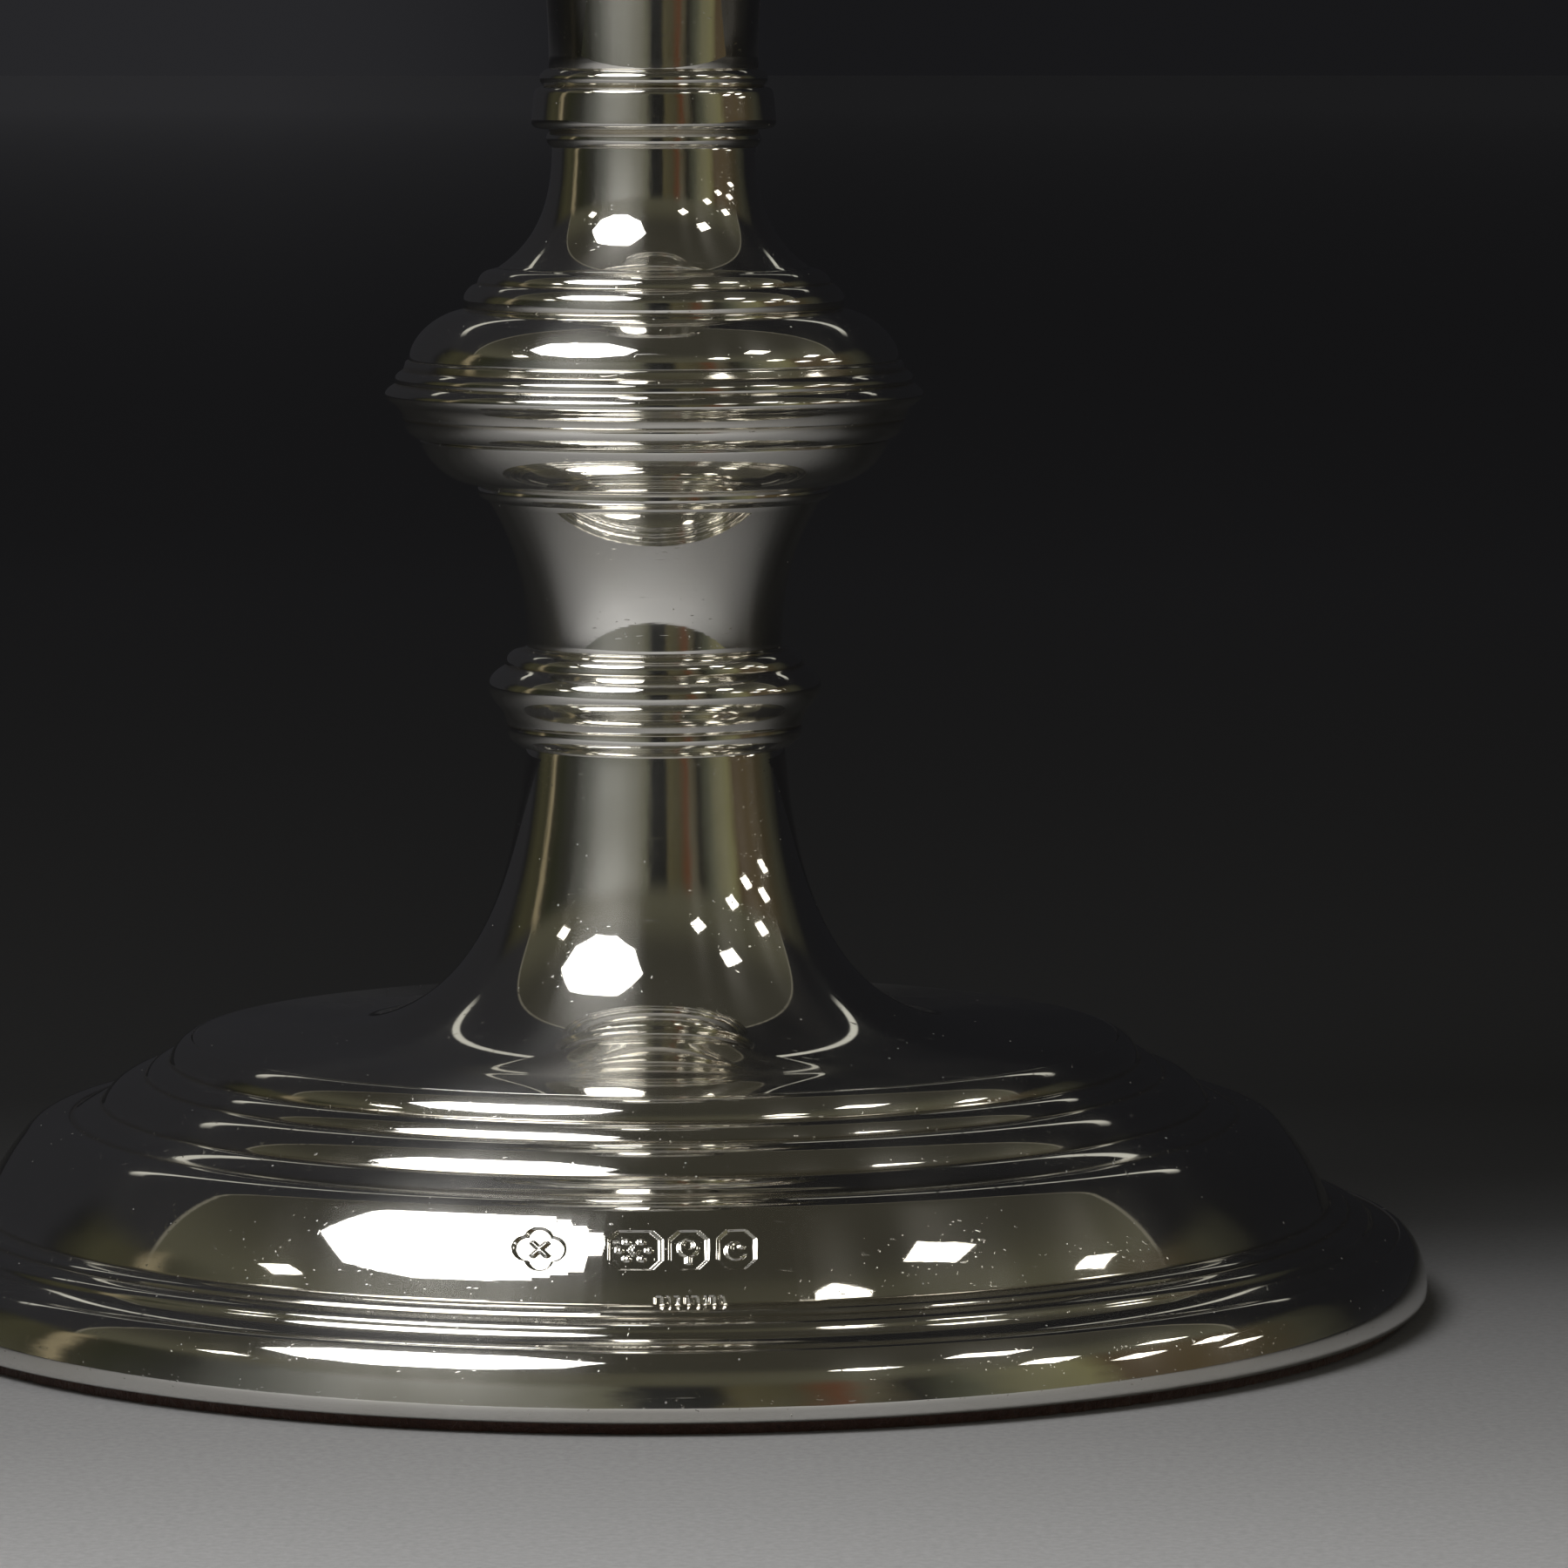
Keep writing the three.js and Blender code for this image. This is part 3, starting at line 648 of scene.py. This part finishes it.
def stamp_marks(foot, outline):
    """Makes the mesh fine on the front of the dome and sinks the marks."""
    base = FELT_TOP * MM
    low, high = base + 7.2 * MM, base + 13.9 * MM
    half_turn = math.radians(13.2)
    start_fresh()
    foot.select_set(True)
    bpy.context.view_layer.objects.active = foot
    bpy.ops.object.mode_set(mode="EDIT")
    bpy.ops.mesh.select_mode(type="FACE")
    bpy.ops.mesh.select_all(action="DESELECT")
    bpy.ops.object.mode_set(mode="OBJECT")
    outer = (FOOT_RADIUS - 13) * MM
    for face in foot.data.polygons:
        spot = face.center
        turn = math.atan2(spot.x, -spot.y)
        face.select = (low < spot.z < high and abs(turn) < half_turn
                       and math.hypot(spot.x, spot.y) > outer and face.normal.xy.dot(spot.xy) > 0)
    bpy.ops.object.mode_set(mode="EDIT")
    bpy.ops.mesh.subdivide(number_cuts=9, smoothness=0)
    bpy.ops.object.mode_set(mode="OBJECT")
    fine = [p * MM for p in outline.points]
    fine = [a.lerp(b, k / 12) for a, b in zip(fine, fine[1:]) for k in range(12)]
    curve = np.array([(p.x, p.y) for p in fine if p.x > outer and low - MM < p.y < high + MM])
    tangent = np.gradient(curve, axis=0)
    tangent = np.stack([np.convolve(tangent[:, k], np.ones(25) / 25, "same") for k in (0, 1)], 1)
    tangent /= np.hypot(*tangent.T)[:, None]
    length = np.concatenate([[0], np.cumsum(np.hypot(*np.diff(curve, axis=0).T))])
    middle = length[np.abs(curve[:, 1] - base - STAMP_HEIGHT * MM).argmin()]
    lower = length[np.abs(curve[:, 1] - base - DOT_HEIGHT * MM).argmin()]
    wanted = {index for face in foot.data.polygons if face.select for index in face.vertices}
    for index in wanted:
        spot = foot.data.vertices[index].co
        radius = math.hypot(spot.x, spot.y)
        turn = math.atan2(spot.x, -spot.y)
        near = np.hypot(curve[:, 0] - radius, curve[:, 1] - spot.z).argmin()
        across = turn * curve[near, 0] / MM
        depth = stamp_depth(across, (length[near] - middle) / MM, (length[near] - lower) / MM)
        if depth > 0.001:
            sink = depth * MARK_DEPTH * MM
            radius -= sink * tangent[near, 1]
            spot.x, spot.y = radius * math.sin(turn), -radius * math.cos(turn)
            spot.z += sink * tangent[near, 0]


def make_foot(material):
    outline = foot_outline()
    foot = turned("foot", outline, FOOT_AROUND)
    stamp_marks(foot, outline)
    put_on(foot, material, "stick", "polished_silver", "foot_shell")


def make_trumpet(material):
    high = top("trumpet_shell")
    neck = 10.5
    outline = Outline(BRIM - 0.05, WELL - WALL)
    outline.line(BRIM - 0.05, WELL)
    outline.line(28.1, WELL + 0.15)
    outline.sweep((14.0, WELL + 0.5), (neck + 0.9, high - 11), (neck, high), 48)
    outline.line(neck - WALL, high)
    outline.sweep((neck + 0.1, high - 11.2), (13.0, WELL - 0.4), (27.5, WELL - WALL + 0.1), 18)
    put_on(turned("trumpet", outline, FOOT_AROUND), material, "stick", "polished_silver", "trumpet_shell")


# ---------------------------------------------------------------- stem
def make_lower_collar(material):
    low, high = bottom("lower_collar"), top("lower_collar")
    outline = Outline(10.9, low)
    outline.line(11.3, low + 0.3)
    outline.arc(11.85, low + 1.75, 0.28, 7)
    outline.line(12.0, low + 1.95)
    outline.arc(12.75, low + 3.4, -0.16, 5)
    outline.arc(12.2, low + 6.4, 0.95, 16)
    outline.line(12.0, low + 6.55)
    outline.arc(11.25, low + 7.7, 0.25, 7)
    outline.line(10.45, low + 7.85)
    outline.line(10.4, high)
    outline.line(9.6, high)
    outline.line(9.6, low)
    put_on(turned("lower_collar_ring", outline), material, "stick", "polished_silver", "lower_collar")


def make_waist(material):
    low, high = bottom("waist_shell"), top("waist_shell")
    outline = Outline(10.3, low)
    outline.sweep((10.28, low + 4.1), (10.95, high - 3.8), (13.4, high), 26)
    put_on(turned("waist", lined(outline, WALL)), material, "stick", "polished_silver", "waist_shell")


def make_knop(material):
    low, high = bottom("knop_wire"), top("knop_wire")
    outline = Outline(13.5, low)
    outline.line(13.75, low + 0.15)
    outline.arc(14.15, high - 0.1, 0.28, 8)
    outline.line(14.1, high)
    outline.line(12.7, high)
    outline.line(12.7, low)
    put_on(turned("knop_wire_ring", outline), material, "stick", "polished_silver", "knop_wire")

    low, high = bottom("knop_cup"), top("knop_cup")
    outline = Outline(14.6, low)
    outline.sweep((16.5, low + 0.25), (18.3, low + 1.7), (18.85, high - 0.1), 22)
    outline.line(18.8, high)
    put_on(turned("knop_bowl", lined(outline, WALL)), material, "stick", "polished_silver", "knop_cup")

    low, high = bottom("knop_girdle"), top("knop_girdle")
    outline = Outline(18.8, low)
    outline.line(19.3, low + 0.2)
    outline.arc(20.15, low + 1.7, 0.25, 8)
    outline.line(20.3, low + 1.85)
    outline.arc(20.9, low + 2.85, -0.12, 5)
    outline.arc(20.95, low + 4.4, 0.72, 14)
    outline.line(20.75, low + 4.5)
    outline.arc(20.4, low + 5.45, 0.22, 7)
    outline.line(20.15, low + 5.6)
    outline.line(20.0, high - 0.1)
    outline.line(19.9, high)
    outline.line(18, high)
    outline.line(18, low)
    put_on(turned("knop_band", outline), material, "stick", "polished_silver", "knop_girdle")

    low, high = bottom("knop_shoulder"), top("knop_shoulder")
    outline = Outline(19.7, low)
    outline.sweep((19.75, low + 1.6), (17.9, high - 0.45), (15.4, high), 26)
    put_on(turned("knop_dome", lined(outline, WALL)), material, "stick", "polished_silver", "knop_shoulder")

    low, high = bottom("neck_ring"), top("neck_ring")
    outline = Outline(15.3, low)
    outline.line(15.2, low + 0.1)
    outline.arc(14.55, low + 1.95, 0.38, 9)
    outline.line(14.2, low + 2.05)
    outline.arc(13.1, high - 0.1, 0.28, 8)
    outline.line(12.7, high)
    outline.line(11.9, high)
    outline.line(11.9, low)
    put_on(turned("neck_double_ring", outline), material, "stick", "polished_silver", "neck_ring")


def make_neck(material):
    low, high = bottom("neck_shell"), top("neck_shell")
    outline = Outline(12.6, low)
    outline.sweep((9.45, low + 2.1), (8.2, low + 5), (8.15, high), 30)
    put_on(turned("neck_bell", lined(outline, WALL)), material, "stick", "polished_silver", "neck_shell")

    low, high = bottom("upper_collar"), top("upper_collar")
    outline = Outline(8.25, low)
    outline.arc(8.35, low + 1.25, 0.32, 8)
    outline.line(8.5, low + 1.4)
    outline.sweep((9.3, low + 1.42), (9.75, low + 1.5), (9.82, low + 1.95), 8)
    outline.arc(9.58, low + 4.3, 0.02, 6)
    outline.arc(9.1, low + 4.75, 0.12, 4)
    outline.line(8.8, low + 4.85)
    outline.arc(8.75, high - 0.1, 0.38, 10)
    outline.line(8.5, high)
    outline.line(7.35, high)
    outline.line(7.35, low)
    put_on(turned("upper_collar_ring", outline), material, "stick", "polished_silver", "upper_collar")


def make_column(material):
    low, high = bottom("column_shell"), top("column_shell")
    wide = reach("column_shell")
    outline = Outline(8.4, low)
    outline.sweep((8.4, low + 14), (wide, high - 16), (wide, high), 40)
    put_on(turned("column", lined(outline, WALL)), material, "stick", "polished_silver", "column_shell")


# ---------------------------------------------------------------- socket
def make_socket(material):
    low, high = bottom("socket_ring"), top("socket_ring")
    wide = reach("socket_ring")
    outline = Outline(wide - 2.8, low)
    outline.sweep((wide - 2.6, low + 0.9), (wide - 1.3, low + 0.8), (wide - 0.8, low + 1.7), 10)
    outline.arc(wide - 1.2, high - 0.15, 0.85, 12)
    outline.line(wide - 1.3, high)
    outline.line(wide - 4.1, high)
    outline.line(wide - 4.1, low)
    put_on(turned("socket_base_ring", outline), material, "stick", "polished_silver", "socket_ring")

    low, high = bottom("socket_shell"), top("socket_shell")
    wide = reach("socket_shell")
    span = high - low
    outline = Outline(wide, low)
    outline.sweep((wide - 2.1, low + span * 0.2), (wide - 2.1, high - span * 0.2), (wide, high), 36)
    put_on(turned("socket_spool", lined(outline, WALL)), material, "stick", "polished_silver", "socket_shell")

    low, high = bottom("socket_liner"), top("socket_liner")
    wide = reach("socket_liner")
    outline = Outline(0, low)
    outline.line(wide - 0.3, low)
    outline.arc(wide, low + 0.3, 0.08, 3)
    outline.line(wide, high)
    outline.line(wide - 0.7, high)
    outline.line(wide - 0.7, low + 1.2)
    outline.line(0, low + 1.2)
    put_on(turned("socket_tube", outline), material, "stick", "polished_silver", "socket_liner")

    low, high = bottom("socket_rim"), top("socket_rim")
    wide = reach("socket_rim")
    outline = Outline(wide - 0.4, low)
    outline.arc(wide - 0.5, high - 0.15, 0.6, 10)
    outline.line(wide - 0.7, high)
    outline.line(reach("socket_liner") + 0.05, high)
    outline.line(reach("socket_liner") + 0.05, low)
    put_on(turned("socket_lip", outline), material, "stick", "polished_silver", "socket_rim")


# ---------------------------------------------------------------- nozzle
def make_nozzle(material):
    low, high = bottom("nozzle_tube"), top("nozzle_tube")
    wide = reach("nozzle_tube")
    wall = 0.6
    outline = Outline(0, low)
    outline.line(wide - 0.5, low)
    outline.arc(wide, low + 0.5, 0.12, 5)
    outline.line(wide, high - 0.3)
    outline.arc(wide - wall, high - 0.3, 0.28, 8)
    outline.line(wide - wall, low + wall)
    outline.line(0, low + wall)
    put_on(turned("candle_cup", outline), material, "nozzle", "polished_silver", "nozzle_tube")

    low, high = bottom("nozzle_pan"), top("nozzle_pan")
    seat, edge = wide + 0.05, reach("nozzle_pan")
    flat = reach("socket_rim")
    outline = Outline(seat, low)
    outline.line(flat, low)
    outline.arc(edge, high - WALL, 0.35, 14)
    outline.line(edge, high)
    outline.arc(flat, low + WALL, -0.35, 14)
    outline.line(seat, low + WALL)
    put_on(turned("drip_pan", outline), material, "nozzle", "polished_silver", "nozzle_pan")

    low, high = bottom("nozzle_wire"), top("nozzle_wire")
    thick = (high - low) / 2
    centre = Vector((reach("nozzle_wire") - thick, (low + high) / 2))
    outline = Outline(centre.x + thick, centre.y)
    for step in range(1, 20):
        turn = step / 20 * math.tau
        outline.line(centre.x + thick * math.cos(turn), centre.y + thick * math.sin(turn))
    put_on(turned("pan_wire", outline), material, "nozzle", "polished_silver", "nozzle_wire")


# ---------------------------------------------------------------- hidden core
def finish_core(steel, filling):
    for node in ("base_plate", "reinforcing_rod", "rod_nut"):
        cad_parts[node].data.materials.clear()
        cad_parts[node].data.materials.append(steel)
    for node in ("foot_filling", "stem_filling"):
        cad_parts[node].data.materials.clear()
        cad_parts[node].data.materials.append(filling)


# ---------------------------------------------------------------- camera, table and light
def make_camera():
    data = bpy.data.cameras.new("camera")
    data.lens = FOCAL_LENGTH
    data.sensor_width = 36
    camera = bpy.data.objects.new("camera", data)
    camera.location = (0, -CAMERA_DISTANCE, CAMERA_HEIGHT + FELT_TOP * MM)
    camera.rotation_euler = (math.pi / 2 - CAMERA_PITCH, 0, -CAMERA_YAW)
    bpy.context.scene.collection.objects.link(camera)
    bpy.context.scene.camera = camera


def make_table():
    start_fresh()
    bpy.ops.mesh.primitive_plane_add(size=16, location=(0, 8 - TABLE_EDGE, 0))
    table = bpy.context.object
    table.name = "table"
    bpy.ops.object.transform_apply(location=True)
    table.data.materials.append(table_paper())


def direction(azimuth, elevation):
    """Azimuth 0 is towards the camera, and grows to the right."""
    a, e = math.radians(azimuth), math.radians(elevation)
    return Vector((math.sin(a) * math.cos(e), -math.cos(a) * math.cos(e), math.sin(e)))


def lamp(name, azimuth, elevation, distance, width, height, watts, colour=(1, 1, 1), turn=0, flat=False):
    """An area light aimed at the stem, or lying flat like a ceiling panel."""
    data = bpy.data.lights.new(name, "AREA")
    data.shape = "RECTANGLE"
    data.size, data.size_y = width, height
    data.energy = watts
    data.color = colour
    light = bpy.data.objects.new(name, data)
    towards = direction(azimuth, elevation)
    light.location = Vector((0, 0, 0.05)) + towards * distance
    if not flat:
        light.rotation_euler = towards.to_track_quat("Z", "Y").to_euler()
    light.rotation_euler.rotate_axis("Z", math.radians(turn))
    bpy.context.scene.collection.objects.link(light)


def make_lights():
    # An eight-sided softbox lies flat overhead. It is four bands, each as wide as one of its sides.
    across = 0.62
    band = across * math.tan(math.pi / 8)
    for k in range(4):
        lamp(f"softbox_{k}", -47, 51, 0.9, across, band, 1.75, (1.0, 0.99, 0.975), 45 * k - 24, flat=True)
    # Square panels in the ceiling: azimuth, elevation and size.
    panels = ((34, 36, 0.28), (62, 25, 0.28), (76, 18, 0.28), (95, 12, 0.28), (92, 18, 0.28),
              (86, 28.5, 0.28), (-73, 33, 0.25), (62, 46, 0.36))
    for index, (azimuth, elevation, size) in enumerate(panels):
        lamp(f"ceiling_{index}", azimuth, elevation, 2.2, size, size, 11 * size * size, (1.0, 0.96, 0.88),
             azimuth + 45, flat=True)


# What stands round the room at eye level: azimuth, and the colour there.
ROOM = (
    (-180, (0.008, 0.008, 0.009)), (-126, (0.009, 0.009, 0.009)), (-112, (0.042, 0.040, 0.022)),
    (-103, (0.036, 0.034, 0.020)), (-99, (0.250, 0.210, 0.130)), (-95, (0.030, 0.028, 0.018)),
    (-88, (0.018, 0.019, 0.011)), (-74, (0.024, 0.024, 0.020)), (-62, (0.075, 0.077, 0.068)),
    (-45, (0.165, 0.165, 0.148)), (-30, (0.170, 0.168, 0.146)), (-14, (0.135, 0.132, 0.106)),
    (-7, (0.100, 0.098, 0.070)), (-2, (0.013, 0.013, 0.013)), (8, (0.012, 0.012, 0.011)),
    (12, (0.066, 0.058, 0.030)), (20, (0.050, 0.045, 0.025)), (27, (0.078, 0.030, 0.013)),
    (31, (0.060, 0.052, 0.030)), (38, (0.014, 0.013, 0.010)), (46, (0.052, 0.054, 0.036)),
    (54, (0.110, 0.105, 0.062)), (66, (0.140, 0.132, 0.066)), (72, (0.055, 0.038, 0.020)),
    (86, (0.060, 0.044, 0.022)), (98, (0.044, 0.034, 0.018)), (112, (0.036, 0.035, 0.024)),
    (126, (0.009, 0.009, 0.009)), (180, (0.008, 0.008, 0.009)),
)


def make_world():
    world = bpy.data.worlds.new("studio")
    bpy.context.scene.world = world
    world.use_nodes = True
    tree = world.node_tree
    background = tree.nodes["Background"]

    def add(kind, **settings):
        node = tree.nodes.new(kind)
        for name, value in settings.items():
            setattr(node, name, value)
        return node

    def maths(operation, first, second=0.0):
        node = add("ShaderNodeMath", operation=operation)
        for index, value in enumerate((first, second)):
            if isinstance(value, (int, float)):
                node.inputs[index].default_value = value
            else:
                tree.links.new(value, node.inputs[index])
        return node.outputs[0]

    def remap(value, low, high, to_low=0.0, to_high=1.0, smooth_step=True):
        node = add("ShaderNodeMapRange", interpolation_type="SMOOTHSTEP" if smooth_step else "LINEAR")
        for index, number in enumerate((low, high, to_low, to_high), start=1):
            node.inputs[index].default_value = number
        tree.links.new(value, node.inputs[0])
        return node.outputs[0]

    def blend(share, first, second):
        node = add("ShaderNodeMix", data_type="RGBA")
        tree.links.new(share, node.inputs["Factor"])
        for name, value in (("A", first), ("B", second)):
            socket = [s for s in node.inputs if s.name == name and s.type == "RGBA"][0]
            if isinstance(value, tuple):
                socket.default_value = (*value, 1)
            else:
                tree.links.new(value, socket)
        return [s for s in node.outputs if s.type == "RGBA"][0]

    split = add("ShaderNodeSeparateXYZ")
    tree.links.new(add("ShaderNodeTexCoord").outputs["Generated"], split.inputs[0])
    x, y, z = split.outputs
    azimuth = maths("ARCTAN2", x, maths("MULTIPLY", y, -1))
    wobble = add("ShaderNodeTexNoise")
    wobble.inputs["Scale"].default_value = 9
    tree.links.new(split.inputs[0].links[0].from_socket, wobble.inputs["Vector"])
    shaken = maths("ADD", azimuth, maths("MULTIPLY", maths("SUBTRACT", wobble.outputs["Fac"], 0.5), 0.10))
    ramp = add("ShaderNodeValToRGB")
    tree.links.new(remap(shaken, -math.pi, math.pi, smooth_step=False), ramp.inputs[0])
    set_stops(ramp, [((degrees + 180) / 360, colour) for degrees, colour in ROOM])
    dark = blend(remap(x, 0.02, -0.05), (0.0090, 0.0090, 0.0100), (0.0200, 0.0200, 0.0220))
    # The ceiling reaches back over the object. Behind it hangs a dark cloth with a lit top edge.
    over = maths("SUBTRACT", z, maths("MULTIPLY", y, 2.3))
    ceiling = blend(remap(z, 0.5, 0.8), (0.070, 0.067, 0.045), (0.036, 0.034, 0.026))
    border = maths("MULTIPLY", remap(over, -0.02, 0.0), remap(over, 0.05, 0.03))
    plain = blend(remap(over, -0.01, 0.02), dark, blend(border, ceiling, (0.15, 0.14, 0.11)))
    cloth = maths("MULTIPLY", remap(z, 0.545, 0.555), remap(z, 0.585, 0.575))
    cloth = maths("MULTIPLY", cloth, remap(y, 0.60, 0.72))
    plain = blend(cloth, plain, (0.55, 0.54, 0.48))
    away = remap(maths("ABSOLUTE", azimuth), math.radians(132), math.radians(120))
    around = blend(away, dark, ramp.outputs[0])
    wall = blend(remap(z, 0.36, 0.50), around, plain)
    tree.links.new(wall, background.inputs["Color"])
    background.inputs["Strength"].default_value = 1.0


bpy.context.scene.view_settings.view_transform = "Standard"
silver = polished_silver()
felt = baize()
make_camera()
make_table()
make_felt(felt)
make_felt_fibres(felt)
make_foot(silver)
make_trumpet(silver)
make_lower_collar(silver)
make_waist(silver)
make_knop(silver)
make_neck(silver)
make_column(silver)
make_socket(silver)
make_nozzle(silver)
finish_core(dull_steel(), poured_filling())
make_lights()
make_world()
